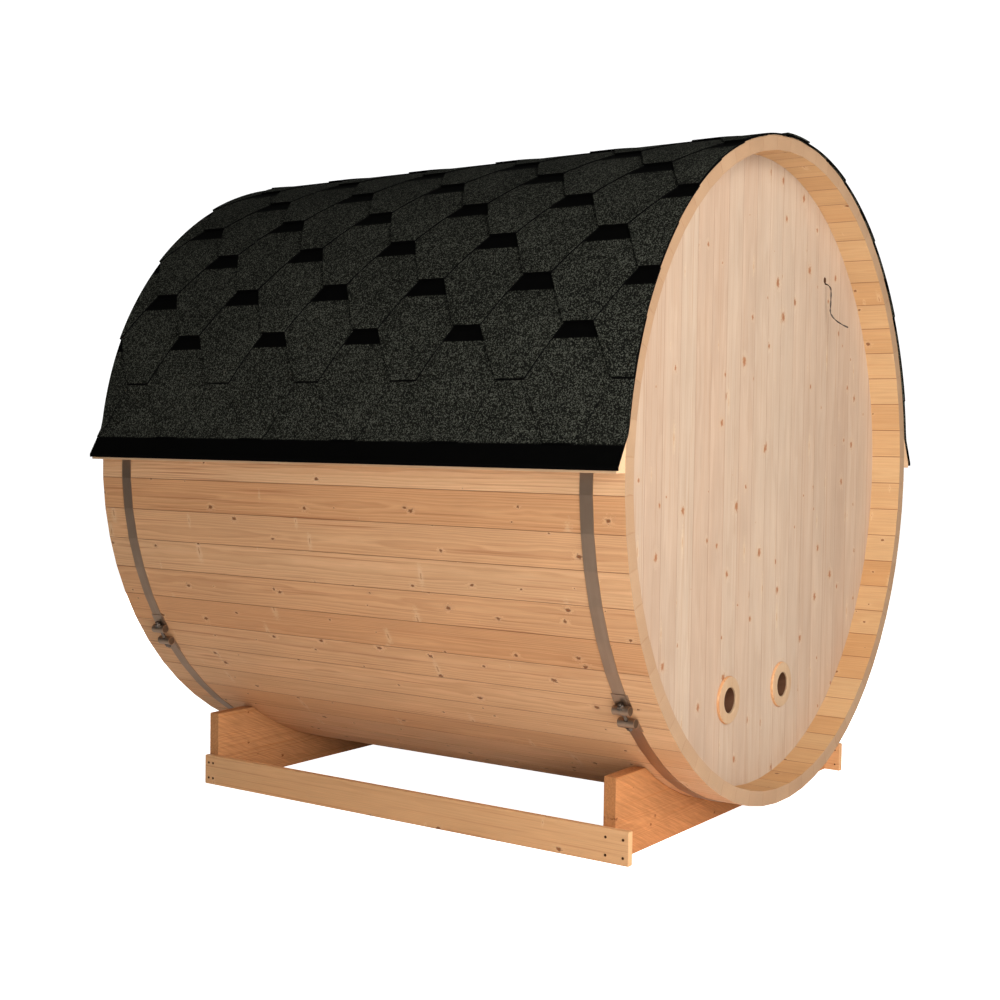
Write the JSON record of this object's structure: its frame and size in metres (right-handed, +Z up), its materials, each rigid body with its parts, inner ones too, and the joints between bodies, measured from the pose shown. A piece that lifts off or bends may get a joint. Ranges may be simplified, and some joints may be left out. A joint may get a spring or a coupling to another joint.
{
  "type": "outdoor sauna",
  "caption": "Barrel sauna of wooden staves lying on cradles, with boarded ends, round vents, steel bands and a shingled roof.",
  "frame": {"origin": "on the ground, under the middle of the whole object", "axes": "+Z up, +Y along the barrel towards its vented end, +X towards the long side seen in the picture"},
  "size_m": [1.9898, 1.836, 1.9568],
  "materials": {
    "stave_wood": "satin",
    "end_wall_wood": "satin",
    "door_wood": "satin",
    "turned_wood": "satin",
    "band_steel": "brushed",
    "cant_wood": "sawn",
    "eaves_felt": "matte",
    "shingle_felt": "granulated",
    "base_wood": "sawn",
    "cable_sheath": "matte"
  },
  "bodies": {
    "root": {"band_tensioners": "band_steel", "base_rail_left": "base_wood", "base_rail_right": "base_wood", "cradle_front": "base_wood", "cradle_rear": "base_wood", "door_casing_head": "door_wood", "door_casing_left": "door_wood", "door_casing_right": "door_wood", "door_casing_sill": "door_wood", "door_hinges": "band_steel", "door_leaf": "door_wood", "door_pull": "turned_wood", "eave_cant_strip_left": "cant_wood", "eave_cant_strip_right": "cant_wood", "eaves_felt_left": "eaves_felt", "eaves_felt_right": "eaves_felt", "floor_staves_a": "stave_wood", "floor_staves_b": "stave_wood", "front_wall_below_door": "end_wall_wood", "front_wall_left": "end_wall_wood", "front_wall_over_door": "end_wall_wood", "front_wall_right": "end_wall_wood", "left_wall_staves_a": "stave_wood", "left_wall_staves_b": "stave_wood", "rear_end_wall": "end_wall_wood", "right_wall_staves_a": "stave_wood", "right_wall_staves_b": "stave_wood", "roof_staves_a": "stave_wood", "roof_staves_b": "stave_wood", "shingle_ridge": "shingle_felt", "shingle_slope_left": "shingle_felt", "shingle_slope_right": "shingle_felt", "shingle_starter_left": "shingle_felt", "shingle_starter_right": "shingle_felt", "steel_band_front": "band_steel", "steel_band_rear": "band_steel", "vent_collars": "turned_wood", "wall_cable": "cable_sheath"}
  },
  "joints": []
}
